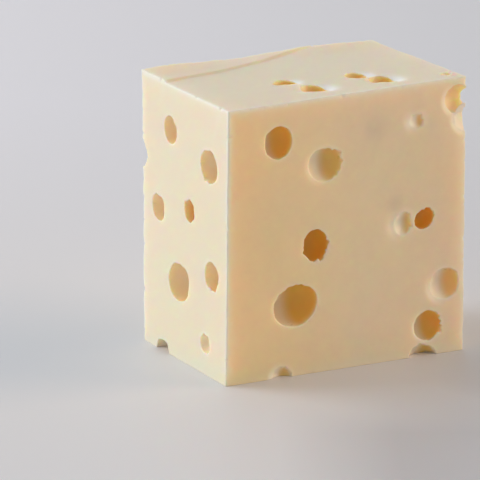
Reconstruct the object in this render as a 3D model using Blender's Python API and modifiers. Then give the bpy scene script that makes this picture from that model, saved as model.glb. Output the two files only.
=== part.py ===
"""A block of Swiss-style cheese, cut by hand from a loaf.

One solid: a slightly skewed block with knife-worked faces, opened all over by the round
eyes that gas bubbles left in the paste. Metres, +Z up; it stands on its flat underside,
the origin is under its middle and its widest cut face looks along -Y.
"""
import math

import bmesh
import bpy
from mathutils import Matrix, Vector

MM = 0.001

# Driving dimensions, in millimetres
WIDTH = 96.0        # along X
DEPTH = 65.0        # along Y, front face to back face
HEIGHT = 100.0      # along Z, the side of the loaf the block was cut from
EDGE_ROUND = 0.9    # how far the cut edges have softened
EDGE_ANGLE = 45     # degrees; only edges sharper than this are the block's own
SMOOTH_ANGLE = 35   # degrees; shading is smooth across flatter edges than this
CELLS = 7           # grid cells along each side of a face

# How far each corner of the hand-cut block lies from a true box, in millimetres.
# Keys are the corner's side along X, Y and Z.
CORNER_SHIFT = {
    (-1, -1, 1): (-0.6, -0.7, -0.1),
    (1, -1, 1): (0.9, 2.3, 0.2),
    (1, 1, 1): (-0.5, 0.6, 0.0),
    (-1, 1, 1): (0.4, 0.0, -0.2),
    (-1, -1, -1): (0.2, 2.9, 0.0),
    (1, -1, -1): (-0.9, -0.5, 0.0),
    (1, 1, -1): (-1.0, -0.1, 0.0),
    (-1, 1, -1): (1.0, 0.4, 0.0),
}

# The knife was lifted and set again across the top: behind this line, given by its Y at
# each X, the paste stands a little higher.
RIDGE_LINE = ((-48.0, 14.5), (-23.0, 17.5), (-4.0, 23.5), (16.0, 31.0), (30.0, 34.0))
RIDGE_HEIGHT = 0.7
RIDGE_RAMP = 5.0
# Swells and a dip along the back edge of the top: centre along X, height, half-width
BACK_SWELLS = ((-37.0, 0.5, 9.0), (-9.0, -0.5, 9.0), (27.0, 1.0, 13.0))
BACK_FADE = 14.0
FACE_WAVE = 0.25    # swing of the long waves in the four upright faces
WAVE_ACROSS = 0.07  # radians of wave for each millimetre across a face
WAVE_UP = 4.0       # radians of wave from the bottom of a face to its top
TOP_HOLD = 8        # how soon the relief of the top fades below it, as a power of height
ON_FACE = 0.01      # points this near a face of the true box belong to it

# Colours and finish of the paste
PASTE_COLOUR = (0.80, 0.66, 0.40, 1.0)
PASTE_ROUGHNESS = 0.42

# The six sides, each by the middle of its lower or near edge, its upward direction as
# seen facing it, and its outward normal.
SIDES = {
    "front": (Vector((0, -DEPTH / 2, 0)), Vector((0, 0, 1)), Vector((0, -1, 0))),
    "back": (Vector((0, DEPTH / 2, 0)), Vector((0, 0, 1)), Vector((0, 1, 0))),
    "left": (Vector((-WIDTH / 2, 0, 0)), Vector((0, 0, 1)), Vector((-1, 0, 0))),
    "right": (Vector((WIDTH / 2, 0, 0)), Vector((0, 0, 1)), Vector((1, 0, 0))),
    "top": (Vector((0, 0, HEIGHT)), Vector((0, 1, 0)), Vector((0, 0, 1))),
    "under": (Vector((0, 0, 0)), Vector((0, -1, 0)), Vector((0, 0, -1))),
}

# The eyes, side by side: across, up, width, height, depth (mm) and tilt (degrees), as
# seen facing that side. A depth over half the width leaves an undercut rim.
EYES = {
    "front": (
        (-28.2, 86.1, 10.7, 11.7, 7.6, 0),
        (-9.3, 75.9, 13.2, 12.6, 6.0, 0),
        (-12.9, 47.0, 9.8, 11.8, 9.0, 12),
        (-20.6, 26.2, 17.2, 15.2, 10.5, 14),
        (31.3, 50.5, 7.7, 6.6, 6.5, 38),
        (22.9, 49.9, 7.4, 9.0, 2.2, -10),
        (27.8, 86.4, 6.0, 5.2, 1.3, 0),
        (40.3, 25.6, 11.6, 11.6, 4.5, 0),
        (33.3, 10.9, 11.0, 11.0, 7.0, 0),
        (31.0, -0.9, 10.8, 10.8, 4.0, 0),
        (-26.0, 0.0, 8.0, 8.0, 2.2, 0),
        (44.6, 92.2, 10.6, 10.6, 4.7, 0),
        (48.0, 85.2, 9.8, 10.0, 2.0, 0),
    ),
    "top": (
        (-11.7, -7.2, 8.3, 7.2, 5.0, 0),
        (-6.9, -19.8, 9.2, 10.4, 6.0, 0),
        (15.2, -11.5, 7.2, 9.0, 5.0, 0),
        (20.3, -20.7, 9.0, 10.6, 6.0, 0),
        (43.6, -26.4, 4.2, 3.8, 1.5, 0),
    ),
    "left": (
        (19.0, 77.0, 12.6, 11.8, 7.5, 0),
        (-10.5, 83.5, 9.4, 9.8, 6.0, 15),
        (4.5, 57.5, 7.6, 8.2, 6.5, 0),
        (-20.0, 53.0, 10.0, 9.4, 6.0, -20),
        (21.0, 37.5, 9.6, 10.6, 6.5, 0),
        (-4.0, 29.0, 15.2, 13.8, 9.0, 12),
        (16.5, 11.5, 7.4, 7.0, 3.0, 0),
        (-17.0, -0.6, 9.8, 9.8, 5.5, 0),
        (-33.0, 70.0, 8.0, 10.0, 4.0, 0),
    ),
    "right": (
        (15.0, 80.0, 10.0, 9.6, 6.0, 0),
        (-15.5, 78.5, 7.6, 7.2, 4.5, 0),
        (-9.0, 60.5, 13.6, 12.8, 8.0, -15),
        (18.5, 53.5, 8.2, 8.6, 6.0, 0),
        (-0.5, 36.0, 9.4, 10.0, 6.5, 0),
        (-19.0, 26.5, 6.0, 6.8, 2.0, 0),
        (19.5, 20.0, 14.2, 12.8, 8.0, 20),
        (-12.5, 11.5, 8.6, 8.0, 5.5, 0),
        (33.5, 38.0, 8.4, 9.6, 4.0, 0),
    ),
    "back": (
        (30.5, 85.0, 10.0, 9.8, 6.0, 0),
        (7.5, 88.5, 8.4, 8.2, 6.0, 0),
        (-14.5, 77.5, 15.4, 13.8, 9.0, -18),
        (-37.0, 87.0, 9.8, 9.4, 6.0, 0),
        (19.5, 61.0, 9.2, 10.0, 7.5, 0),
        (-3.5, 53.5, 12.6, 12.0, 6.5, 0),
        (-30.0, 50.5, 9.0, 9.4, 7.0, 0),
        (37.5, 42.0, 8.2, 8.0, 4.5, 0),
        (14.0, 29.5, 16.8, 14.4, 9.5, 16),
        (-13.0, 29.0, 9.4, 9.6, 5.5, 0),
        (-35.0, 18.0, 10.0, 9.6, 6.5, 0),
        (34.0, 12.5, 9.0, 8.6, 5.0, 0),
        (-9.0, -0.4, 9.6, 9.6, 5.0, 0),
    ),
    "under": (
        (-24.0, -8.0, 9.8, 9.4, 5.5, 0),
        (21.0, -9.0, 10.0, 9.4, 5.0, 15),
        (7.0, 14.5, 8.8, 8.4, 4.5, 0),
    ),
}
# Sides and rings of the faceted bubble that cuts an eye, by the eye's greatest width
BUBBLE_DETAIL = ((6.5, 8, 5), (11.5, 12, 7), (math.inf, 16, 9))


def skewed(point):
    """Move a point of the true box to where it lies in the hand-cut block."""
    fx = point.x / WIDTH + 0.5
    fy = point.y / DEPTH + 0.5
    fz = point.z / HEIGHT
    moved = point.copy()
    for (sx, sy, sz), shift in CORNER_SHIFT.items():
        weight = (fx if sx > 0 else 1 - fx) * (fy if sy > 0 else 1 - fy) * (fz if sz > 0 else 1 - fz)
        moved += weight * Vector(shift)
    return moved


def smooth_step(value):
    value = min(max(value, 0.0), 1.0)
    return value * value * (3 - 2 * value)


def along_line(line, x):
    """Y of a broken line at x, straight on past its ends."""
    last = len(line) - 2
    for index in range(last + 1):
        (x0, y0), (x1, y1) = line[index], line[index + 1]
        if x <= x1 or index == last:
            return y0 + (y1 - y0) * (x - x0) / (x1 - x0)


def top_relief(x, y):
    """Height of the ridge and of the swells along the back edge of the top."""
    ridge = RIDGE_HEIGHT * smooth_step((y - along_line(RIDGE_LINE, x)) / RIDGE_RAMP + 0.5)
    near_back = smooth_step((y - (DEPTH / 2 - BACK_FADE)) / BACK_FADE)
    swell = sum(high * math.exp(-((x - mid) / half) ** 2) for mid, high, half in BACK_SWELLS)
    return ridge + near_back * swell


def knife_worked(point):
    """The surface of the block at a point of the true box."""
    moved = skewed(point)
    rise = point.z / HEIGHT
    phase = WAVE_ACROSS * (point.x + point.y) + WAVE_UP * rise
    wave = FACE_WAVE * math.sin(math.pi * rise) * math.sin(phase)
    if abs(point.y) > DEPTH / 2 - ON_FACE:
        moved.y += wave
    if abs(point.x) > WIDTH / 2 - ON_FACE:
        moved.x += wave
    moved.z += rise ** TOP_HOLD * top_relief(point.x, point.y)
    return moved


def paste_material():
    material = bpy.data.materials.new("cheese_paste")
    material.use_nodes = True
    shader = material.node_tree.nodes["Principled BSDF"]
    shader.inputs["Base Color"].default_value = PASTE_COLOUR
    shader.inputs["Roughness"].default_value = PASTE_ROUGHNESS
    shader.inputs["Metallic"].default_value = 0.0
    return material


def new_collection(name):
    collection = bpy.data.collections.new(name)
    bpy.context.scene.collection.children.link(collection)
    return collection


def new_object(name, bm, collection):
    mesh = bpy.data.meshes.new(name)
    bm.to_mesh(mesh)
    bm.free()
    obj = bpy.data.objects.new(name, mesh)
    collection.objects.link(obj)
    return obj


def cut_block(collection):
    """The block before its eyes: a gridded box, skewed and knife-worked."""
    bm = bmesh.new()
    bmesh.ops.create_cube(bm, size=1.0)
    bmesh.ops.subdivide_edges(bm, edges=bm.edges[:], cuts=CELLS - 1, use_grid_fill=True)
    for vert in bm.verts:
        box_point = Vector((vert.co.x * WIDTH, vert.co.y * DEPTH, (vert.co.z + 0.5) * HEIGHT))
        vert.co = knife_worked(box_point) * MM
    block = new_object("cheese_block", bm, collection)
    softened = block.modifiers.new("softened_edges", "BEVEL")
    softened.width = EDGE_ROUND * MM
    softened.segments = 2
    softened.limit_method = "ANGLE"
    softened.angle_limit = math.radians(EDGE_ANGLE)
    return block


def bubble(name, side, eye, collection):
    """The gas bubble behind one eye: a ball whose cut at the surface is the eye's mouth."""
    across, up, width, height, depth, tilt = eye
    origin, up_axis, normal = SIDES[side]
    right_axis = up_axis.cross(normal)
    mouth = (width + height) / 4
    radius = (mouth ** 2 + depth ** 2) / (2 * depth)
    centre = skewed(origin + across * right_axis + up * up_axis + (radius - depth) * normal)
    facing = Matrix((right_axis, up_axis, normal)).transposed().to_4x4()
    place = Matrix.Translation(centre * MM) @ facing @ Matrix.Rotation(math.radians(tilt), 4, "Z")
    stretch = Matrix.Diagonal((width / 2 / mouth, height / 2 / mouth, 1.0, 1.0))
    segments, rings = next((s, r) for limit, s, r in BUBBLE_DETAIL if max(width, height) <= limit)
    bm = bmesh.new()
    bmesh.ops.create_uvsphere(bm, u_segments=segments, v_segments=rings, radius=radius * MM)
    bmesh.ops.transform(bm, matrix=stretch, verts=bm.verts)
    ball = new_object(name, bm, collection)
    ball.matrix_world = place
    ball.hide_render = True
    ball.display_type = "WIRE"
    return ball


def build():
    for obj in list(bpy.data.objects):
        bpy.data.objects.remove(obj, do_unlink=True)
    parts = new_collection("cheese_block")
    cutters = new_collection("bubbles")
    block = cut_block(parts)
    for side, eyes in EYES.items():
        for number, eye in enumerate(eyes, start=1):
            bubble(f"bubble_{side}_{number:02d}", side, eye, cutters)
    opened = block.modifiers.new("eyes", "BOOLEAN")
    opened.operation = "DIFFERENCE"
    opened.solver = "EXACT"
    opened.operand_type = "COLLECTION"
    opened.collection = cutters
    block.data.materials.append(paste_material())
    block.data.shade_smooth()
    block.data.set_sharp_from_angle(angle=math.radians(SMOOTH_ANGLE))


build()
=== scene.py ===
import math
import random

import bmesh
import bpy
import numpy as np
from mathutils import Matrix, Vector, noise


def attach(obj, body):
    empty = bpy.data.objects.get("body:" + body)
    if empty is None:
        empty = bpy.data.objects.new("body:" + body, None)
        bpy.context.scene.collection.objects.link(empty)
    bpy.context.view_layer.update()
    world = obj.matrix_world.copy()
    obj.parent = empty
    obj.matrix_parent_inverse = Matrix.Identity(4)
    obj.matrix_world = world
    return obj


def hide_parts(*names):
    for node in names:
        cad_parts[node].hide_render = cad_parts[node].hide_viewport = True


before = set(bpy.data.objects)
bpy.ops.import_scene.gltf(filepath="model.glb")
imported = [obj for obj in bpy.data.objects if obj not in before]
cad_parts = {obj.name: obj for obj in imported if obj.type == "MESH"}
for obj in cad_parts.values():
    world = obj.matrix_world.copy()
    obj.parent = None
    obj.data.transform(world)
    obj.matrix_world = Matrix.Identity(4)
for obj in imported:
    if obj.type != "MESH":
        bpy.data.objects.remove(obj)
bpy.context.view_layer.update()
MM = 0.001


# --- The block as the knife left it -----------------------------------------------------------
# One piece of pale, moist Swiss-style paste, cut by hand from a square loaf with a long knife.
# Its corners are not quite square, its faces swell a little, and the knife was set twice
# across the top, which left a low ridge there.
WIDTH, DEPTH, HEIGHT = 96.0, 65.0, 100.0      # millimetres along X, Y and Z before the skew
CORNER_SHIFT = {
    (-1, -1, 1): (-0.6, -0.7, -0.1),
    (1, -1, 1): (0.9, 2.3, 0.2),
    (1, 1, 1): (-0.5, 0.6, 0.0),
    (-1, 1, 1): (0.4, 0.0, -0.2),
    (-1, -1, -1): (0.2, 2.9, 0.0),
    (1, -1, -1): (-0.9, -0.5, 0.0),
    (1, 1, -1): (-1.0, -0.1, 0.0),
    (-1, 1, -1): (1.0, 0.4, 0.0),
}
RIDGE_X = (-48.0, -23.0, -4.0, 16.0, 30.0, 48.0)
RIDGE_Y = (14.5, 17.5, 23.5, 31.0, 34.0, 36.0)
RIDGE_HEIGHT, RIDGE_RAMP = 0.7, 1.6
BACK_SWELLS = ((-37.0, 0.5, 9.0), (-9.0, -0.5, 9.0), (27.0, 1.0, 13.0))      # X, height, half-width
BACK_FADE = 14.0
FACE_WAVE, WAVE_ACROSS, WAVE_UP = 0.25, 0.07, 4.0
TOP_HOLD = 8             # how closely the relief of the top keeps to the top
ON_FACE = 0.01
BLOCK_CELLS = 80


def smooth_step(value):
    value = np.clip(value, 0.0, 1.0)
    return value * value * (3 - 2 * value)


def rise(value, low, high):
    """From 0 at low to 1 at high, with soft ends."""
    return smooth_step((value - low) / (high - low))


def corner_shift(points):
    """How far the skew moves points of the true box, as an array of vectors."""
    fx = points[:, 0] / WIDTH + 0.5
    fy = points[:, 1] / DEPTH + 0.5
    fz = points[:, 2] / HEIGHT
    moved = np.zeros_like(points)
    for (sx, sy, sz), shift in CORNER_SHIFT.items():
        weight = (fx if sx > 0 else 1 - fx) * (fy if sy > 0 else 1 - fy) * (fz if sz > 0 else 1 - fz)
        moved += weight[:, None] * np.array(shift)
    return moved


def top_relief(x, y):
    """Height of the knife ridge and of the swells along the back edge of the top."""
    ridge = RIDGE_HEIGHT * smooth_step((y - np.interp(x, RIDGE_X, RIDGE_Y)) / RIDGE_RAMP + 0.5)
    near_back = smooth_step((y - (DEPTH / 2 - BACK_FADE)) / BACK_FADE)
    swell = sum(high * np.exp(-((x - mid) / half) ** 2) for mid, high, half in BACK_SWELLS)
    return ridge + near_back * swell


def knife_worked(points):
    """The surface of the block at points of the true box."""
    moved = points + corner_shift(points)
    level = points[:, 2] / HEIGHT
    phase = WAVE_ACROSS * (points[:, 0] + points[:, 1]) + WAVE_UP * level
    wave = FACE_WAVE * np.sin(math.pi * level) * np.sin(phase)
    moved[:, 1] += np.where(np.abs(points[:, 1]) > DEPTH / 2 - ON_FACE, wave, 0)
    moved[:, 0] += np.where(np.abs(points[:, 0]) > WIDTH / 2 - ON_FACE, wave, 0)
    moved[:, 2] += level ** TOP_HOLD * top_relief(points[:, 0], points[:, 1])
    return moved


def coordinates(mesh):
    values = np.empty(len(mesh.vertices) * 3, dtype=np.float32)
    mesh.vertices.foreach_get("co", values)
    return values.reshape(-1, 3).astype(np.float64)


def set_coordinates(mesh, points):
    mesh.vertices.foreach_set("co", points.astype(np.float32).ravel())
    mesh.update()


def new_object(name, bm):
    mesh = bpy.data.meshes.new(name)
    bm.to_mesh(mesh)
    bm.free()
    obj = bpy.data.objects.new(name, mesh)
    bpy.context.scene.collection.objects.link(obj)
    return obj


bm = bmesh.new()
bmesh.ops.create_cube(bm, size=1.0)
bmesh.ops.subdivide_edges(bm, edges=bm.edges[:], cuts=BLOCK_CELLS - 1, use_grid_fill=True)
block = new_object("cheese_block_cut", bm)
box_points = coordinates(block.data)
box_points[:, 2] += 0.5
box_points *= (WIDTH, DEPTH, HEIGHT)
set_coordinates(block.data, knife_worked(box_points) * MM)


# --- The eyes ---------------------------------------------------------------------------------
# Round holes that gas bubbles grew in the warm curd, opened where the knife crossed them. Deep
# ones keep an undercut rim, shallow ones are dishes; each mouth is a little torn on one side.
SIDES = {
    "front": ((0, -DEPTH / 2, 0), (0, 0, 1), (0, -1, 0)),
    "back": ((0, DEPTH / 2, 0), (0, 0, 1), (0, 1, 0)),
    "left": ((-WIDTH / 2, 0, 0), (0, 0, 1), (-1, 0, 0)),
    "right": ((WIDTH / 2, 0, 0), (0, 0, 1), (1, 0, 0)),
    "top": ((0, 0, HEIGHT), (0, 1, 0), (0, 0, 1)),
    "under": ((0, 0, 0), (0, -1, 0), (0, 0, -1)),
}
# across, up, width, height, depth (mm), tilt, the way the rim is torn (degrees), how much
EYES = {
    "front": (
        (-28.2, 86.1, 10.7, 11.7, 7.6, 0, 200, 0.2),
        (-9.3, 75.9, 13.2, 12.6, 6.0, 0, 10, 1.0),
        (-12.9, 47.0, 9.8, 11.8, 9.0, 12, -50, 1.0),
        (-20.6, 26.2, 17.2, 15.2, 10.5, 14, 120, 0.4),
        (31.3, 50.5, 7.7, 6.6, 6.5, 38, 60, 0.8),
        (22.9, 49.9, 7.4, 9.0, 2.2, -10, 0, 0.5),
        (27.8, 86.4, 6.0, 5.2, 1.3, 0, 30, 0.5),
        (40.3, 25.6, 11.6, 11.6, 4.5, 0, 90, 0.3),
        (33.3, 10.9, 11.0, 11.0, 7.0, 0, -20, 1.0),
        (31.0, -0.9, 10.8, 10.8, 4.0, 0, 60, 0.6),
        (-26.0, 0.0, 8.0, 8.0, 2.2, 0, 60, 0.4),
        (44.6, 92.2, 10.6, 10.6, 4.7, 0, -60, 0.8),
        (48.0, 85.2, 9.8, 10.0, 2.0, 0, 180, 0.4),
    ),
    "top": (
        (-11.7, -7.2, 8.3, 7.2, 5.0, 0, 0, 0.6),
        (-6.9, -19.8, 9.2, 10.4, 6.0, 0, 0, 0.6),
        (15.2, -11.5, 7.2, 9.0, 5.0, 0, 0, 0.6),
        (20.3, -20.7, 9.0, 10.6, 6.0, 0, 0, 0.6),
        (43.6, -26.4, 4.2, 3.8, 1.5, 0, 0, 0.4),
    ),
    "left": (
        (19.0, 77.0, 12.6, 11.8, 7.5, 0, 200, 0.6),
        (-10.5, 83.5, 9.4, 9.8, 6.0, 15, 0, 0.3),
        (4.5, 57.5, 7.6, 8.2, 6.5, 0, 90, 0.5),
        (-20.0, 53.0, 10.0, 9.4, 6.0, -20, 180, 0.3),
        (21.0, 37.5, 9.6, 10.6, 6.5, 0, 300, 0.7),
        (-4.0, 29.0, 15.2, 13.8, 9.0, 12, 30, 0.3),
        (16.5, 11.5, 7.4, 7.0, 3.0, 0, 45, 0.5),
        (-17.0, -0.6, 9.8, 9.8, 5.5, 0, 90, 0.5),
        (-33.0, 70.0, 8.0, 10.0, 4.0, 0, 0, 0.3),
    ),
    "right": (
        (15.0, 80.0, 10.0, 9.6, 6.0, 0, 45, 0.5),
        (-15.5, 78.5, 7.6, 7.2, 4.5, 0, 180, 0.5),
        (-9.0, 60.5, 13.6, 12.8, 8.0, -15, 270, 0.4),
        (18.5, 53.5, 8.2, 8.6, 6.0, 0, 0, 0.6),
        (-0.5, 36.0, 9.4, 10.0, 6.5, 0, 120, 0.8),
        (-19.0, 26.5, 6.0, 6.8, 2.0, 0, 0, 0.4),
        (19.5, 20.0, 14.2, 12.8, 8.0, 20, 30, 0.3),
        (-12.5, 11.5, 8.6, 8.0, 5.5, 0, 200, 0.5),
        (33.5, 38.0, 8.4, 9.6, 4.0, 0, 0, 0.3),
    ),
    "back": (
        (30.5, 85.0, 10.0, 9.8, 6.0, 0, 20, 0.4),
        (7.5, 88.5, 8.4, 8.2, 6.0, 0, 180, 0.6),
        (-14.5, 77.5, 15.4, 13.8, 9.0, -18, 240, 0.3),
        (-37.0, 87.0, 9.8, 9.4, 6.0, 0, 300, 0.7),
        (19.5, 61.0, 9.2, 10.0, 7.5, 0, 70, 0.4),
        (-3.5, 53.5, 12.6, 12.0, 6.5, 0, 330, 0.8),
        (-30.0, 50.5, 9.0, 9.4, 7.0, 0, 150, 0.4),
        (37.5, 42.0, 8.2, 8.0, 4.5, 0, 200, 0.5),
        (14.0, 29.5, 16.8, 14.4, 9.5, 16, 100, 0.3),
        (-13.0, 29.0, 9.4, 9.6, 5.5, 0, 10, 0.6),
        (-35.0, 18.0, 10.0, 9.6, 6.5, 0, 220, 0.4),
        (34.0, 12.5, 9.0, 8.6, 5.0, 0, 90, 0.4),
        (-9.0, -0.4, 9.6, 9.6, 5.0, 0, 90, 0.4),
    ),
    "under": (
        (-24.0, -8.0, 9.8, 9.4, 5.5, 0, 0, 0.3),
        (21.0, -9.0, 10.0, 9.4, 5.0, 15, 90, 0.4),
        (7.0, 14.5, 8.8, 8.4, 4.5, 0, 180, 0.5),
    ),
}

# Where the knife tore a rim or left a flap: way seen facing it (degrees), half-width (degrees),
# how far out the mouth reaches there (mm, less than nothing for a flap)
NOTCHES = {
    ("front", 0): ((40, 12, 0.3), (-70, 14, -0.3), (150, 18, 0.3)),
    ("front", 1): ((84, 27, -0.75), (3, 5, 0.35), (-10, 5, -0.45)),
    ("front", 2): ((202, 6, 0.7), (20, 5, -0.4), (-46, 6, -0.4)),
    ("front", 3): ((134, 26, -0.35), (-70, 20, 0.3), (66, 8, -0.25)),
    ("front", 4): ((124, 9, -0.35), (20, 30, 0.3), (96, 8, -0.15)),
    ("front", 5): ((24, 12, -0.6), (-34, 16, 0.2), (60, 7, -0.3)),
    ("front", 7): ((0, 26, -0.5), (38, 14, 0.4), (-38, 14, 0.4)),
    ("front", 8): ((-88, 28, -0.5), (-28, 6, 1.7), (-46, 7, -0.8)),
    ("front", 9): ((110, 30, 0.5), (8, 22, 1.0), (72, 7, -0.5)),
    ("front", 11): ((-52, 16, -0.9), (40, 14, -0.5), (200, 16, 0.3)),
}
HIDDEN_NOTCHES = random.Random(7)
# Where a mouth opens out in a slope instead of an edge: way (degrees), half-width (degrees),
# how wide and how deep the slope is (mm), and how much drier and paler its paste is; the pale is a
# painted highlight where the slope catches the light
FLARES = {
    ("front", 1): ((205, 62, 1.2, 0.45, 0.3),),
    ("front", 5): ((195, 60, 2.4, 1.0, 0.75),),
    ("front", 6): ((190, 60, 2.0, 0.7, 1.0),),
    ("front", 7): ((215, 55, 1.8, 0.9, 1.0),),
    ("front", 8): ((200, 60, 0.9, 0.35, 1.0),),
    ("front", 10): ((170, 60, 1.2, 0.6, 1.0),),
    ("front", 11): ((200, 60, 1.2, 0.6, 1.0),),
    ("front", 12): ((190, 300, 1.4, 0.6, 1.0),),
    ("top", 0): ((0, 45, 2.3, 1.0, 1.8), (185, 35, 1.4, 0.4, 0.0)),
    ("top", 1): ((0, 45, 2.9, 1.5, 1.8), (185, 35, 1.8, 0.6, 0.0)),
    ("top", 2): ((0, 45, 2.3, 1.0, 1.8), (185, 35, 1.4, 0.4, 0.0)),
    ("top", 3): ((0, 45, 2.9, 1.5, 1.8), (185, 35, 1.8, 0.6, 0.0)),
}
# Eyes with little paste behind them, which light comes through, and how golden it turns there: a painted
# glow of that light
THIN_WALLED = {("front", 11): 1.0, ("front", 12): 0.0}
# Shallow eyes at the foot, in shade where they meet the table, painted as dark as deep ones: the depth
# over width they pass for
SHADED = {("front", 9): 0.58, ("front", 10): 0.5}
SWELL_SCALE, TEAR_SCALE = 130.0, 700.0
SWELL_GAIN, TEAR_GAIN = 2.0, 4.0      # the noise itself strays less than a half either way
NOISE_APART = 3.7        # keeps one eye's noise from repeating in the next
TEAR_SHIFT = 50.0        # and the tears from following the swells
TORN_SIDE = (0.1, 0.8)   # from the whole side of a rim to its torn side
WHOLE_SIDE_TEAR = 0.18


def notches_of(side, number):
    """Three notches for an eye: the stated ones, or ones drawn by chance."""
    if (side, number) in NOTCHES:
        return NOTCHES[(side, number)]
    return [(HIDDEN_NOTCHES.uniform(0, 360), HIDDEN_NOTCHES.uniform(7, 24), size)
            for size in (HIDDEN_NOTCHES.uniform(-0.9, -0.3), HIDDEN_NOTCHES.uniform(0.2, 0.9),
                         HIDDEN_NOTCHES.uniform(-0.7, 0.5))]


class Eye:
    """One bubble: a stretched ball in millimetres, with its own axes across, up and out."""

    def __init__(self, side, number, across, up, width, height, depth, tilt, torn_way, torn):
        origin, up_axis, out_axis = (np.array(v, dtype=float) for v in SIDES[side])
        right_axis = np.cross(up_axis, out_axis)
        turn = math.radians(tilt)
        self.mouth = (width + height) / 4
        self.ball = (self.mouth ** 2 + depth ** 2) / (2 * depth)
        self.depth = depth
        surface = origin + across * right_axis + up * up_axis
        self.face = surface + corner_shift(surface[None])[0]
        centre = surface + (self.ball - depth) * out_axis
        self.centre = centre + corner_shift(centre[None])[0]
        across_axis = math.cos(turn) * right_axis + math.sin(turn) * up_axis
        along_axis = math.cos(turn) * up_axis - math.sin(turn) * right_axis
        self.axes = np.array((across_axis, along_axis, out_axis))
        self.radii = self.ball * np.array((width / 2 / self.mouth, height / 2 / self.mouth, 1.0))
        way = math.radians(torn_way - tilt)
        self.torn_way = (math.cos(way), math.sin(way), 0.0)
        self.torn = torn
        self.notches = [(math.radians(at - tilt), math.radians(half), size * MM)
                        for at, half, size in notches_of(side, number)]
        self.right, self.up = right_axis, up_axis
        self.flares = FLARES.get((side, number), ())
        self.thin = THIN_WALLED.get((side, number))
        self.slender = SHADED.get((side, number), depth / (2 * self.mouth))


eyes = [Eye(side, number, *row) for side, rows in EYES.items() for number, row in enumerate(rows)]

bubbles = bpy.data.meshes.new("bubble_centres")
bubbles.from_pydata([Vector(eye.centre) * MM for eye in eyes], [], [])
for name, kind, values in (
    ("radii", "FLOAT_VECTOR", [eye.radii * MM for eye in eyes]),
    ("facing", "FLOAT_VECTOR", [Matrix(eye.axes).transposed().to_euler() for eye in eyes]),
    ("torn_way", "FLOAT_VECTOR", [eye.torn_way for eye in eyes]),
    ("notch_0", "FLOAT_VECTOR", [eye.notches[0] for eye in eyes]),
    ("notch_1", "FLOAT_VECTOR", [eye.notches[1] for eye in eyes]),
    ("notch_2", "FLOAT_VECTOR", [eye.notches[2] for eye in eyes]),
):
    attribute = bubbles.attributes.new(name, kind, "POINT")
    attribute.data.foreach_set("vector", [float(c) for value in values for c in value])
for name, values in (("torn", [eye.torn for eye in eyes]), ("which", list(range(len(eyes))))):
    attribute = bubbles.attributes.new(name, "FLOAT", "POINT")
    attribute.data.foreach_set("value", [float(v) for v in values])
bubble_points = bpy.data.objects.new("bubble_centres", bubbles)
bpy.context.scene.collection.objects.link(bubble_points)


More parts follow.
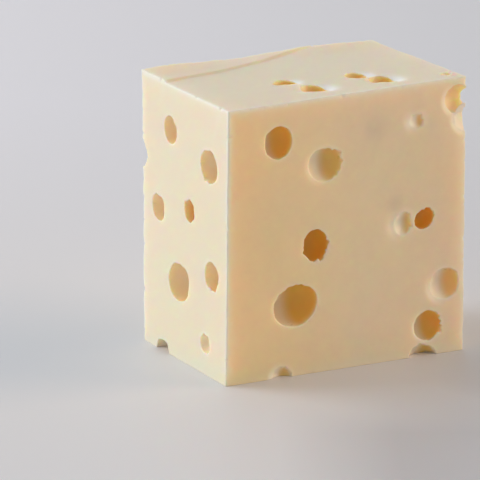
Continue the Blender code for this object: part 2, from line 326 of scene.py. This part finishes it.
def bubble_tree():
    """Blows the bubbles up, tears their mouths where they cross the skin, and cuts them out."""
    tree = bpy.data.node_groups.new("cheese_eyes", "GeometryNodeTree")
    face = tree.interface
    face.new_socket("Block", in_out="INPUT", socket_type="NodeSocketGeometry")
    for label, kind, value in (
        ("Bubbles", "NodeSocketObject", None),
        ("Ball Detail", "NodeSocketInt", 5),
        ("Wall Swell", "NodeSocketFloat", 0.035),
        ("Tear Length", "NodeSocketFloat", 0.0015),
        ("Tear Reach", "NodeSocketFloat", 0.0014),
        ("Seed", "NodeSocketFloat", 4.0),
        ("Paste", "NodeSocketMaterial", None),
    ):
        socket = face.new_socket(label, in_out="INPUT", socket_type=kind)
        if value is not None:
            socket.default_value = value
    face.new_socket("Block", in_out="OUTPUT", socket_type="NodeSocketGeometry")
    nodes, links = tree.nodes, tree.links

    def node(kind, **settings):
        made = nodes.new(kind)
        for key, value in settings.items():
            setattr(made, key, value)
        return made

    def math_node(operation, a, b=None, c=None):
        made = node("ShaderNodeMath", operation=operation)
        for slot, value in enumerate((a, b, c)):
            if value is None:
                continue
            if isinstance(value, (int, float)):
                made.inputs[slot].default_value = value
            else:
                links.new(value, made.inputs[slot])
        return made.outputs[0]

    def named(name, kind):
        made = node("GeometryNodeInputNamedAttribute", data_type=kind)
        made.inputs["Name"].default_value = name
        return made.outputs["Attribute"]

    given = node("NodeGroupInput")
    result = node("NodeGroupOutput")
    centres = node("GeometryNodeObjectInfo", transform_space="ORIGINAL")
    links.new(given.outputs["Bubbles"], centres.inputs["Object"])
    ball = node("GeometryNodeMeshIcoSphere")
    ball.inputs["Radius"].default_value = 1.0
    links.new(given.outputs["Ball Detail"], ball.inputs["Subdivisions"])
    where = node("GeometryNodeInputPosition")
    kept = node("GeometryNodeStoreNamedAttribute", data_type="FLOAT_VECTOR", domain="POINT")
    kept.inputs["Name"].default_value = "on_ball"
    links.new(ball.outputs["Mesh"], kept.inputs["Geometry"])
    links.new(where.outputs[0], kept.inputs["Value"])

    placed = node("GeometryNodeInstanceOnPoints")
    turn = node("FunctionNodeEulerToRotation")
    links.new(named("facing", "FLOAT_VECTOR"), turn.inputs[0])
    links.new(centres.outputs["Geometry"], placed.inputs["Points"])
    links.new(kept.outputs["Geometry"], placed.inputs["Instance"])
    links.new(turn.outputs[0], placed.inputs["Rotation"])
    links.new(named("radii", "FLOAT_VECTOR"), placed.inputs["Scale"])
    real = node("GeometryNodeRealizeInstances")
    links.new(placed.outputs["Instances"], real.inputs["Geometry"])

    def wobble(scale, detail, shift):
        made = node("ShaderNodeTexNoise", noise_dimensions="4D")
        made.inputs["Scale"].default_value = scale
        made.inputs["Detail"].default_value = detail
        links.new(where.outputs[0], made.inputs["Vector"])
        number = math_node("MULTIPLY_ADD", named("which", "FLOAT"), NOISE_APART, shift)
        links.new(math_node("ADD", number, given.outputs["Seed"]), made.inputs["W"])
        return math_node("SUBTRACT", made.outputs[0], 0.5)

    size = node("ShaderNodeVectorMath", operation="LENGTH")
    links.new(named("radii", "FLOAT_VECTOR"), size.inputs[0])
    swell = math_node("MULTIPLY", wobble(SWELL_SCALE, 1.0, 0.0), given.outputs["Wall Swell"])
    swell = math_node("MULTIPLY", swell, size.outputs["Value"])
    swell = math_node("MULTIPLY", swell, SWELL_GAIN)

    skin = node("GeometryNodeProximity", target_element="FACES")
    links.new(given.outputs["Block"], skin.inputs[0])
    near = node("ShaderNodeMapRange", interpolation_type="SMOOTHSTEP")
    links.new(skin.outputs["Distance"], near.inputs["Value"])
    links.new(given.outputs["Tear Reach"], near.inputs["From Max"])
    near.inputs["To Min"].default_value = 1.0
    near.inputs["To Max"].default_value = 0.0
    along = node("ShaderNodeVectorMath", operation="DOT_PRODUCT")
    links.new(named("on_ball", "FLOAT_VECTOR"), along.inputs[0])
    links.new(named("torn_way", "FLOAT_VECTOR"), along.inputs[1])
    sided = node("ShaderNodeMapRange", interpolation_type="SMOOTHSTEP")
    links.new(along.outputs["Value"], sided.inputs["Value"])
    sided.inputs["From Min"].default_value, sided.inputs["From Max"].default_value = TORN_SIDE
    sided.inputs["To Min"].default_value = WHOLE_SIDE_TEAR
    torn = math_node("MULTIPLY", wobble(TEAR_SCALE, 2.0, TEAR_SHIFT), near.outputs[0])
    torn = math_node("MULTIPLY", torn, sided.outputs[0])
    torn = math_node("MULTIPLY", torn, named("torn", "FLOAT"))
    torn = math_node("MULTIPLY", torn, given.outputs["Tear Length"])
    torn = math_node("MULTIPLY", torn, TEAR_GAIN)

    seen = node("ShaderNodeSeparateXYZ")
    links.new(named("on_ball", "FLOAT_VECTOR"), seen.inputs[0])
    around = math_node("ARCTAN2", seen.outputs["Y"], seen.outputs["X"])
    notched = None
    for number in range(3):
        notch = node("ShaderNodeSeparateXYZ")
        links.new(named(f"notch_{number}", "FLOAT_VECTOR"), notch.inputs[0])
        off = math_node("WRAP", math_node("SUBTRACT", around, notch.outputs["X"]), math.pi, -math.pi)
        off = math_node("DIVIDE", off, notch.outputs["Y"])
        fall = math_node("EXPONENT", math_node("MULTIPLY", math_node("MULTIPLY", off, off), -1.0))
        size_here = math_node("MULTIPLY", fall, notch.outputs["Z"])
        notched = size_here if notched is None else math_node("ADD", notched, size_here)
    notched = math_node("MULTIPLY", notched, near.outputs[0])
    torn = math_node("ADD", torn, notched)

    normal = node("GeometryNodeInputNormal")
    push = node("ShaderNodeVectorMath", operation="SCALE")
    links.new(normal.outputs[0], push.inputs[0])
    links.new(math_node("ADD", swell, torn), push.inputs["Scale"])
    moved = node("GeometryNodeSetPosition")
    links.new(real.outputs["Geometry"], moved.inputs["Geometry"])
    links.new(push.outputs[0], moved.inputs["Offset"])

    cut = node("GeometryNodeMeshBoolean", operation="DIFFERENCE", solver="MANIFOLD")
    links.new(given.outputs["Block"], cut.inputs["Mesh 1"])
    links.new(moved.outputs["Geometry"], cut.inputs["Mesh 2"])
    whole = node("GeometryNodeRealizeInstances")
    links.new(cut.outputs["Mesh"], whole.inputs["Geometry"])
    paste = node("GeometryNodeSetMaterial")
    links.new(whole.outputs["Geometry"], paste.inputs["Geometry"])
    links.new(given.outputs["Paste"], paste.inputs["Material"])
    links.new(paste.outputs["Geometry"], result.inputs["Block"])
    return tree


paste = bpy.data.materials.new("cheese_paste")
tree = bubble_tree()
cutting = block.modifiers.new("eyes", "NODES")
cutting.node_group = tree
sockets = {item.name: item.identifier for item in tree.interface.items_tree if item.in_out == "INPUT"}
cutting[sockets["Bubbles"]] = bubble_points
cutting[sockets["Ball Detail"]] = 5
cutting[sockets["Paste"]] = paste


def made_plain(obj, name):
    """The object's evaluated mesh as a plain mesh, in place of its modifiers."""
    graph = bpy.context.evaluated_depsgraph_get()
    mesh = bpy.data.meshes.new_from_object(obj.evaluated_get(graph))
    mesh.name = name
    obj.modifiers.clear()
    obj.data = mesh
    return obj


made_plain(block, "cheese_block_open")
bpy.data.objects.remove(bubble_points)


# --- The skin of the paste --------------------------------------------------------------------
# A knife leaves no true sharp edge in cheese: edges and rims are softened by a few tenths of a
# millimetre, and the paste is pulled up into a low lip round each mouth.
VOXEL = 0.28
SOFTEN_PASSES = 2
LIP_HEIGHT, LIP_WIDTH, LIP_REACH = 0.20, 0.75, 0.8
EDGE_REACH = 1.6
EDGE_WANDER, EDGE_WANDER_LENGTH = 0.30, 6.0
EDGE_CRUMB, EDGE_CRUMB_LENGTH, CRUMB_FROM = 1.4, 1.7, 0.25
SLOPE_HOLD, SLOPE_PULL = 2.5, 1.5      # how far down a slope draws the wall, and how hard at most
FOOT_HEIGHT, FOOT_CRISP = 3.0, 0.8
MOST_TRIANGLES = 190000

remesh = block.modifiers.new("even_skin", "REMESH")
remesh.mode = "VOXEL"
remesh.voxel_size = VOXEL * MM
soften = block.modifiers.new("softened", "SMOOTH")
soften.factor = 0.5
soften.iterations = SOFTEN_PASSES
made_plain(block, "cheese_block_skin")


def eye_places(eye, points):
    """Distance outside the ball, and depth below the mouth, of points in millimetres."""
    local = (points - eye.centre) @ eye.axes.T / eye.radii
    outside = (np.linalg.norm(local, axis=1) - 1) * eye.mouth
    below = (eye.face - points) @ eye.axes[2]
    return outside, below


def flare_share(eye, way, half, width, points):
    """How strongly each point lies in a slope beside an eye's mouth, from 0 to 1."""
    offset = points - eye.face
    along, high = offset @ eye.right, offset @ eye.up
    off = (np.degrees(np.arctan2(high, along)) - way + 180) % 360 - 180
    outside = np.maximum(np.hypot(along, high) - eye.mouth, 0)
    return np.exp(-(off / half) ** 2 - (outside / width) ** 2)


def off_edges(points):
    """Distance of points from the nearest cut edge of the block, in millimetres."""
    true_box = points - corner_shift(points)
    gaps = np.stack((WIDTH / 2 - np.abs(true_box[:, 0]), DEPTH / 2 - np.abs(true_box[:, 1]),
                     np.minimum(true_box[:, 2], HEIGHT - true_box[:, 2])))
    return np.maximum(np.sort(gaps, axis=0)[1], 0)


skin = coordinates(block.data) / MM
for eye in eyes:
    outside, below = eye_places(eye, skin)
    lip = np.exp(-(outside / LIP_WIDTH) ** 2 - (below / LIP_REACH) ** 2)
    skin += (LIP_HEIGHT * lip)[:, None] * eye.axes[2]
    for way, half, width, depth, pale in eye.flares:
        squash = np.clip(1 - below / (SLOPE_HOLD * depth), 0, SLOPE_PULL) ** 2
        skin -= (flare_share(eye, way, half, width, skin) * squash * depth)[:, None] * eye.axes[2]

# the cut edges wander a little and crumble here and there, but sit flat where the block stands
centre = np.array((0, 0, HEIGHT / 2))
gap = off_edges(skin)
for index in np.flatnonzero(gap < EDGE_REACH):
    point = skin[index]
    wander = noise.noise(Vector(point) / EDGE_WANDER_LENGTH) * EDGE_WANDER
    crumb = max(noise.noise(Vector(point) / EDGE_CRUMB_LENGTH) - CRUMB_FROM, 0) * EDGE_CRUMB
    inward = (centre - point) / np.linalg.norm(centre - point)
    share = (1 - gap[index] / EDGE_REACH) * rise(point[2], 0, FOOT_HEIGHT)
    skin[index] = point + inward * (wander + crumb) * share
skin[:, 2] = np.maximum(skin[:, 2], 0.0)
skin[:, 2] *= rise(skin[:, 2], 0, FOOT_CRISP)
set_coordinates(block.data, skin * MM)

block.data.calc_loop_triangles()
thin = block.modifiers.new("thinned", "DECIMATE")
thin.ratio = min(1.0, MOST_TRIANGLES / len(block.data.loop_triangles))
made_plain(block, "cheese_block_skin")
block.data.shade_smooth()


# --- Where the paste changes ------------------------------------------------------------------
# Values kept on the skin for its finish and its painted light and shade: where an eye's wall is,
# how deep and on which side of it, how near a rim or a cut edge, the lit faces painted paler,
# the slopes painted as highlights, and the faint veils over bubbles just missed.
WALL_EDGE = (0.1, 0.9)             # distance outside the bubble over which its wall fades (mm)
WALL_TOP = (0.05, 0.75)            # depth below the mouth over which it sets in (mm)
DEEP_EYE = (0.3, 0.8)              # depth over width, from a dish to a deep eye
SHUT_EYE = (0.55, 0.9)             # and on to one whose pale half is in the dark too
GOLD_FRONT = (-0.2, 0.5)           # from the pale half of an eye, painted as lit, to its golden half, painted in shade, in half-widths of the mouth
GOLD_ELSEWHERE = (-1.0, 1.0)       # in half-widths of the mouth
AMBER_DEPTH, AMBER_RISE = 0.8, 0.5     # share of an eye's depth where the painted shade deep in it is full, and how much sooner on the golden side
                                       # much sooner on the golden side
# A pale rim round each mouth: partly the drier lip, partly a painted highlight where the lip catches the
# light
RIM_WIDTH, RIM_MOST, RIM_LOST = 1.1, 0.5, 0.4
RIMMED_EYE = (1.8, 3.8)            # half-width from which a rim shows (mm)
SLOPE_DEPTH, SLOPE_EDGE = 2.0, (0.1, 0.8)
VEILS = ((11.1, 86.0, 4.2), (19.4, 57.6, 2.8))     # X, Z and half-width (mm)
VEIL_DEPTH = 4.0
# Cut edges painted pale: partly drier paste, partly a painted highlight along the rounded edge
EDGE_WIDTH, EDGE_FADE = 1.3, 6.0
# The top and left faces, where the window and ceiling light falls, are painted paler: a painted lit copy
# of the paste
LIT_PALE_DEPTH, LIT_PALE_LEFT = 1.4, 0.8
FACING = 0.5                       # share of an axis from which an eye faces that way

skin = coordinates(block.data) / MM
finish = {name: np.zeros(len(skin)) for name in
          ("amber_shade", "wall", "gold_shade", "rim", "slope_highlight", "thin_wall", "edge", "lit_pale", "veil")}


def keep_most(name, values):
    finish[name] = np.maximum(finish[name], values)


for eye in eyes:
    outside, below = eye_places(eye, skin)
    faces_up, faces_front = eye.axes[2, 2] > FACING, eye.axes[2, 1] < -FACING
    for way, half, width, depth, pale in eye.flares:
        sloped = flare_share(eye, way, half, width, skin) * np.exp(-(below / (SLOPE_DEPTH + depth)) ** 2)
        if faces_up:
            sloped *= rise(outside, *SLOPE_EDGE)
        # painted highlight on the slopes beside the mouths
        keep_most("slope_highlight", np.minimum(pale * sloped, 1))
    inside = (1 - rise(outside, *WALL_EDGE)) * rise(below, *WALL_TOP)
    if eye.thin is not None:
        keep_most("thin_wall", inside * eye.thin)
        continue
    deep, shut_in = rise(eye.slender, *DEEP_EYE), rise(eye.slender, *SHUT_EYE)
    # which half of an eye wall is painted as lit and which as shaded
    rightward = (skin - eye.face) @ eye.right / eye.mouth
    golden = rise(rightward, *(GOLD_FRONT if faces_front else GOLD_ELSEWHERE))
    reach = rise(below, 0, eye.depth * (AMBER_DEPTH - AMBER_RISE * golden))
    near_mouth = np.exp(-(outside / RIM_WIDTH) ** 2 - (below / RIM_WIDTH) ** 2)
    keep_most("wall", inside)
    keep_most("gold_shade", golden * (inside > 0))
    # painted shade deep in the eyes, fuller the deeper and more closed the eye
    keep_most("amber_shade", inside * deep * reach * (shut_in + (1 - shut_in) * golden))
    keep_most("rim", RIM_MOST * near_mouth * (1 - RIM_LOST * deep) * rise(eye.mouth, *RIMMED_EYE))
uncut = 1 - finish["wall"]
true_box = skin - corner_shift(skin)
off_top = (HEIGHT - true_box[:, 2]) / LIT_PALE_DEPTH
off_left = (true_box[:, 0] + WIDTH / 2) / LIT_PALE_DEPTH
# pale cut edges: partly drier paste, partly a painted highlight
finish["edge"] = np.exp(-(off_edges(skin) / EDGE_WIDTH) ** 2) * uncut * rise(skin[:, 2], 0, EDGE_FADE)
# painted light: the top and the left face painted paler where the lights fall on them
finish["lit_pale"] = np.maximum(np.exp(-off_top ** 2), LIT_PALE_LEFT * np.exp(-off_left ** 2)) * uncut
for x, z, half in VEILS:
    spot = np.exp(-(((skin[:, 0] - x) / half) ** 2 + ((skin[:, 2] - z) / half) ** 2))
    finish["veil"] += spot * (skin[:, 1] < VEIL_DEPTH - DEPTH / 2)
for name, values in finish.items():
    attribute = block.data.attributes.new(name, "FLOAT", "POINT")
    attribute.data.foreach_set("value", values.astype(np.float32))


# --- The paste --------------------------------------------------------------------------------
# Pale ivory-yellow cheese, moist and a little see-through: light goes in and comes back warm.
# The cut faces are satin with faint knife drag, the eyes are glossier and golden to amber.
# Much of the colour is painted light and shade: paler lit faces, lit and shaded halves of the eyes,
# painted shade deep in them, and painted glow and highlights at edges, rims and slopes.
BROAD_SCALE, CURD_SCALE, FINE_SCALE = 20.0, 210.0, 2600.0
BROAD_SPAN, CURD_SPAN = (0.35, 0.65), (0.3, 0.7)       # the part of each noise that is used
CURD_TONE = (0.985, 1.012)
FACE_YELLOW = (0.885, 0.78, 0.56, 1.0)
FACE_PINK = (0.885, 0.778, 0.59, 1.0)
FACE_WARM = (0.905, 0.765, 0.48, 1.0)
LIT_FACE_PALE = (0.86, 0.785, 0.61, 1.0)
EDGE_PALE_DRY_AND_HIGHLIGHT = (0.94, 0.91, 0.80, 1.0)
WALL_PINK_LIT = (1.0, 0.885, 0.745, 1.0)
WALL_GOLD_SHADE = (0.96, 0.715, 0.27, 1.0)
DEEP_AMBER_SHADE = (0.99, 0.60, 0.12, 1.0)
THIN_GLOW_GOLD = (1.0, 0.815, 0.52, 1.0)
EDGE_GLOW_STRAW = (0.91, 0.845, 0.63, 1.0)
RIM_CREAM_DRY_AND_HIGHLIGHT = (0.97, 0.83, 0.68, 1.0)
SLOPE_CREAM_HIGHLIGHT = (0.97, 0.905, 0.765, 1.0)
SLOPE_WHITE_HIGHLIGHT = (0.985, 0.975, 0.93, 1.0)
VEIL_GREY = (0.72, 0.62, 0.50, 1.0)
WARM_FROM, WARM_TO = 0.005, -0.040                     # X over which the face grows warmer (m)
STRAW_FROM, STRAW_TO, STRAW_MOST = 0.0425, 0.048, 0.7  # X over which it turns to straw, a painted glow of light through the right edge (m)
VEIL_SHARE, EDGE_HIGHLIGHT_SHARE, WALL_SHARE, RIM_SHARE = 0.5, 0.7, 0.9, 0.75
TOP_SLOPE_HIGHLIGHTS = (0.094, 0.097)                             # Z over which the slope highlights are painted white (m)
GLOSS_SPAN, WALL_GLOSS = (0.40, 0.52), -0.14
# Light goes in this far (m, by colour). Where the paste is drier it goes in less: by these shares
# at the foot, in the highlighted slopes, at rims, at cut edges, in the top eyes and in either half of an
# eye
LIGHT_REACH = (1.0, 0.48, 0.20)
LIGHT_SCALE = 0.0085
FOOT_DRY_HEIGHT = 0.004
SLOPE_HIGHLIGHT_DRY, RIM_DRY, EDGE_DRY = 0.5, 0.5, 0.8
TOP_EYES, TOP_EYES_DRY = (0.092, 0.097), 0.55
PALE_HALF_DRY, GOLD_HALF_DRY = 0.6, 0.2
DRAG_SCALE, DRAG_STRETCH, DRAG_LEAN = 30.0, 38, 5      # knife drag: fine lines, a little aslant
DRAG_SHARE, GRAIN_SHARE = 0.6, 0.4

paste.use_nodes = True
nodes, links = paste.node_tree.nodes, paste.node_tree.links
shader = nodes["Principled BSDF"]
place = nodes.new("ShaderNodeTexCoord").outputs["Object"]


def texture(scale, detail, stretch=(1, 1, 1), turn=(0, 0, 0)):
    mapping = nodes.new("ShaderNodeMapping")
    mapping.inputs["Scale"].default_value = stretch
    mapping.inputs["Rotation"].default_value = [math.radians(a) for a in turn]
    links.new(place, mapping.inputs["Vector"])
    made = nodes.new("ShaderNodeTexNoise")
    made.inputs["Scale"].default_value = scale
    made.inputs["Detail"].default_value = detail
    links.new(mapping.outputs[0], made.inputs["Vector"])
    return made.outputs[0]


def kept(name):
    made = nodes.new("ShaderNodeAttribute")
    made.attribute_name = name
    return made.outputs["Fac"]


def ranged(value, low, high, to_low, to_high):
    made = nodes.new("ShaderNodeMapRange")
    links.new(value, made.inputs["Value"])
    for slot, number in zip(("From Min", "From Max", "To Min", "To Max"), (low, high, to_low, to_high)):
        made.inputs[slot].default_value = number
    return made.outputs[0]


def blended(share, a, b, how="MIX"):
    made = nodes.new("ShaderNodeMix")
    made.data_type = "RGBA"
    made.blend_type = how
    for slot, value in ((made.inputs["Factor"], share), (made.inputs[6], a), (made.inputs[7], b)):
        if isinstance(value, (float, tuple)):
            slot.default_value = value
        else:
            links.new(value, slot)
    return made.outputs[2]


def calculated(operation, *values):
    made = nodes.new("ShaderNodeMath")
    made.operation = operation
    for slot, value in enumerate(values):
        if isinstance(value, (int, float)):
            made.inputs[slot].default_value = value
        else:
            links.new(value, made.inputs[slot])
    return made.outputs[0]


def part_of(name, share):
    return calculated("MULTIPLY", kept(name), share)


broad = ranged(texture(BROAD_SCALE, 1.0), *BROAD_SPAN, 0.0, 1.0)
curd = texture(CURD_SCALE, 3.0)
fine = texture(FINE_SCALE, 3.0)
split = nodes.new("ShaderNodeSeparateXYZ")
links.new(place, split.inputs[0])
colour = blended(broad, FACE_YELLOW, FACE_PINK)
colour = blended(ranged(split.outputs["X"], WARM_TO, WARM_FROM, 1.0, 0.0), colour, FACE_WARM)
# painted glow: straw along the right edge and over the right face
colour = blended(ranged(split.outputs["X"], STRAW_FROM, STRAW_TO, 0.0, STRAW_MOST), colour, EDGE_GLOW_STRAW)
tone = nodes.new("ShaderNodeCombineColor")
for slot in tone.inputs:
    links.new(ranged(curd, *CURD_SPAN, *CURD_TONE), slot)
colour = blended(1.0, colour, tone.outputs[0], "MULTIPLY")
colour = blended(part_of("veil", VEIL_SHARE), colour, VEIL_GREY)
# painted light: the lit top and left faces painted paler
colour = blended(kept("lit_pale"), colour, LIT_FACE_PALE)
# pale cut edges: partly drier paste, partly a painted highlight
colour = blended(part_of("edge", EDGE_HIGHLIGHT_SHARE), colour, EDGE_PALE_DRY_AND_HIGHLIGHT)
# painted light and shade in the eyes: a pale lit half and a golden half in shade, warm with light come
# through the paste
wall_colour = blended(kept("gold_shade"), WALL_PINK_LIT, WALL_GOLD_SHADE)
colour = blended(part_of("wall", WALL_SHARE), colour, wall_colour)
# painted shade: orange-brown deep in the eyes
colour = blended(kept("amber_shade"), colour, DEEP_AMBER_SHADE)
# painted glow of the light that comes through a thin wall
colour = blended(kept("thin_wall"), colour, THIN_GLOW_GOLD)
# pale rims: partly drier lip, partly a painted highlight
colour = blended(part_of("rim", RIM_SHARE), colour, RIM_CREAM_DRY_AND_HIGHLIGHT)
on_top = ranged(split.outputs["Z"], *TOP_SLOPE_HIGHLIGHTS, 0.0, 1.0)
# painted highlight: the slopes cream on the sides, white on the top
colour = blended(kept("slope_highlight"), colour, blended(on_top, SLOPE_CREAM_HIGHLIGHT, SLOPE_WHITE_HIGHLIGHT))
links.new(colour, shader.inputs["Base Color"])

rough = calculated("ADD", ranged(curd, *CURD_SPAN, *GLOSS_SPAN), part_of("wall", WALL_GLOSS))
links.new(rough, shader.inputs["Roughness"])
shader.inputs["IOR"].default_value = 1.42
opaque = ranged(split.outputs["Z"], 0.0, FOOT_DRY_HEIGHT, 1.0, 0.0)
for dry_share in (
    part_of("slope_highlight", ranged(on_top, 0.0, 1.0, SLOPE_HIGHLIGHT_DRY, 1.0)),
    part_of("rim", RIM_DRY),
    part_of("edge", EDGE_DRY),
    part_of("wall", ranged(split.outputs["Z"], *TOP_EYES, 0.0, TOP_EYES_DRY)),
    part_of("wall", ranged(kept("gold_shade"), 0.0, 1.0, PALE_HALF_DRY, GOLD_HALF_DRY)),
):
    opaque = calculated("MAXIMUM", opaque, dry_share)
links.new(calculated("SUBTRACT", 1.0, opaque), shader.inputs["Subsurface Weight"])
shader.inputs["Subsurface Radius"].default_value = LIGHT_REACH
shader.inputs["Subsurface Scale"].default_value = LIGHT_SCALE
shader.inputs["Subsurface Anisotropy"].default_value = 0.6

drag = texture(DRAG_SCALE, 4.0, stretch=(1, 1, DRAG_STRETCH), turn=(0, DRAG_LEAN, 0))
grain = calculated("MULTIPLY_ADD", drag, DRAG_SHARE, calculated("MULTIPLY", fine, GRAIN_SHARE))
bump = nodes.new("ShaderNodeBump")
bump.inputs["Strength"].default_value = 0.35
bump.inputs["Distance"].default_value = 0.00012
links.new(grain, bump.inputs["Height"])
links.new(bump.outputs[0], shader.inputs["Normal"])

block.data.materials.clear()
block.data.materials.append(paste)
block.name = "cheese_block_paste"
block.data.name = "cheese_block_paste"
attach(block, "root")
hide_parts("cheese_block")


# --- The surface it stands on, the light and the camera ---------------------------------------
# A pale matt tabletop, painted darker in front on the right and beside the block as a painted shadow,
# and far off painted paler on the left than on the right as painted light, that runs out of sight
# under an even ceiling, a low soft window light from the left and a little behind, and a warm
# reflector low on the right.
FLOOR_NEAR = (0.775, 0.77, 0.80, 1.0)
FLOOR_NEAR_RIGHT_SHADOW = (0.575, 0.57, 0.60, 1.0)
FLOOR_FAR_LEFT_LIT = (0.88, 0.88, 0.95, 1.0)
FLOOR_FAR_RIGHT_SHADE = (0.725, 0.735, 0.78, 1.0)
FLOOR_HALF_SIZE = 20.0
TO_REFLECTOR, TO_FRONT, TO_BACK = (0.88, -0.48, 0), (-0.48, -0.88, 0), (0.48, 0.88, 0)
SHADE_ACROSS, SHADE_FORWARD = (-0.01, 0.03), (0.05, 0.10)          # from light to dark (m)
SHADOW_BESIDE_ACROSS, SHADOW_BESIDE_SHARE = (0.045, 0.065), 0.45
FAR_ACROSS, FAR_BACK = (-0.15, 0.15), (0.0, 0.35)

bm = bmesh.new()
bmesh.ops.create_grid(bm, x_segments=1, y_segments=1, size=FLOOR_HALF_SIZE)
floor = new_object("tabletop", bm)
tabletop = bpy.data.materials.new("tabletop_matt")
tabletop.use_nodes = True
nodes, links = tabletop.node_tree.nodes, tabletop.node_tree.links
place = nodes.new("ShaderNodeTexCoord").outputs["Object"]


def along(direction, start, end):
    """From 0 to 1 between two distances along a direction on the tabletop."""
    made = nodes.new("ShaderNodeVectorMath")
    made.operation = "DOT_PRODUCT"
    made.inputs[1].default_value = direction
    links.new(place, made.inputs[0])
    return ranged(made.outputs["Value"], start, end, 0.0, 1.0)


# painted shadow in front of the block on the right and beside it, and painted light falling off from the
# far left to the far right
in_front = calculated("MULTIPLY", along(TO_REFLECTOR, *SHADE_ACROSS), along(TO_FRONT, *SHADE_FORWARD))
beside = calculated("MULTIPLY", along(TO_REFLECTOR, *SHADOW_BESIDE_ACROSS), SHADOW_BESIDE_SHARE)
near_colour = blended(calculated("MAXIMUM", in_front, beside), FLOOR_NEAR, FLOOR_NEAR_RIGHT_SHADOW)
far_colour = blended(along(TO_REFLECTOR, *FAR_ACROSS), FLOOR_FAR_LEFT_LIT, FLOOR_FAR_RIGHT_SHADE)
table_colour = blended(along(TO_BACK, *FAR_BACK), near_colour, far_colour)
links.new(table_colour, nodes["Principled BSDF"].inputs["Base Color"])
nodes["Principled BSDF"].inputs["Roughness"].default_value = 0.5
floor.data.materials.append(tabletop)

middle = Vector((0, 0, HEIGHT / 2)) * MM


def lamp(name, kind, direction, power, tint, **shape):
    """A lamp shining on the middle of the block from a direction."""
    data = bpy.data.lights.new(name, kind)
    data.energy = power
    data.color = tint
    for key, value in shape.items():
        setattr(data, key, value)
    obj = bpy.data.objects.new(name, data)
    bpy.context.scene.collection.objects.link(obj)
    way = Vector(direction).normalized()
    obj.location = middle + way
    obj.rotation_euler = (-way).to_track_quat("-Z", "Y").to_euler()


lamp("window", "SUN", (-0.70, 0.66, 0.36), 1.95, (0.98, 0.99, 1.0), angle=math.radians(40))
lamp("ceiling", "SUN", (-0.30, 0.20, 1.0), 0.38, (0.80, 0.94, 1.0), angle=math.radians(120))
lamp("skylight", "SUN", (0.05, 0.90, 0.45), 0.34, (0.86, 0.96, 1.0), angle=math.radians(60))
lamp("reflector", "SUN", (0.90, -0.45, 0.25), 1.76, (1.0, 0.68, 0.38), angle=math.radians(40))

AIR_COLOUR = (0.95, 0.96, 1.0, 1.0)
SURROUND, SKYLINE = 0.30, 0.62
SKYLINE_LOW, SKYLINE_HIGH = 0.05, 0.16       # rise of the view over which the light falls off
world = bpy.data.worlds.new("studio")
bpy.context.scene.world = world
world.use_nodes = True
air = world.node_tree
air.nodes["Background"].inputs["Color"].default_value = AIR_COLOUR
heading = air.nodes.new("ShaderNodeTexCoord")
split = air.nodes.new("ShaderNodeSeparateXYZ")
climb = air.nodes.new("ShaderNodeMapRange")
air.links.new(heading.outputs["Generated"], split.inputs[0])
air.links.new(split.outputs["Z"], climb.inputs["Value"])
for slot, value in (("From Min", SKYLINE_LOW), ("From Max", SKYLINE_HIGH),
                    ("To Min", SKYLINE), ("To Max", SURROUND)):
    climb.inputs[slot].default_value = value
air.links.new(climb.outputs[0], air.nodes["Background"].inputs["Strength"])

YAW, PITCH = math.radians(28.92), math.radians(16.09)
LENS, SENSOR = 337.5, 36.0
DISTANCE, ASIDE, BELOW = 1.604, 0.0222, 0.0106       # metres from the block, and off its middle
forward = Vector((math.sin(YAW) * math.cos(PITCH), math.cos(YAW) * math.cos(PITCH), -math.sin(PITCH)))
right = Vector((math.cos(YAW), -math.sin(YAW), 0))
up = right.cross(forward)
camera = bpy.data.cameras.new("camera")
camera.lens, camera.sensor_width = LENS, SENSOR
camera_object = bpy.data.objects.new("camera", camera)
bpy.context.scene.collection.objects.link(camera_object)
aim = Vector((0, 0.0007, 0.05)) - ASIDE * right - BELOW * up
camera_object.location = aim - DISTANCE * forward
camera_object.rotation_euler = forward.to_track_quat("-Z", "Y").to_euler()
camera.clip_start, camera.clip_end = 0.01, 60.0
bpy.context.scene.camera = camera_object
bpy.context.scene.view_settings.view_transform = "Standard"
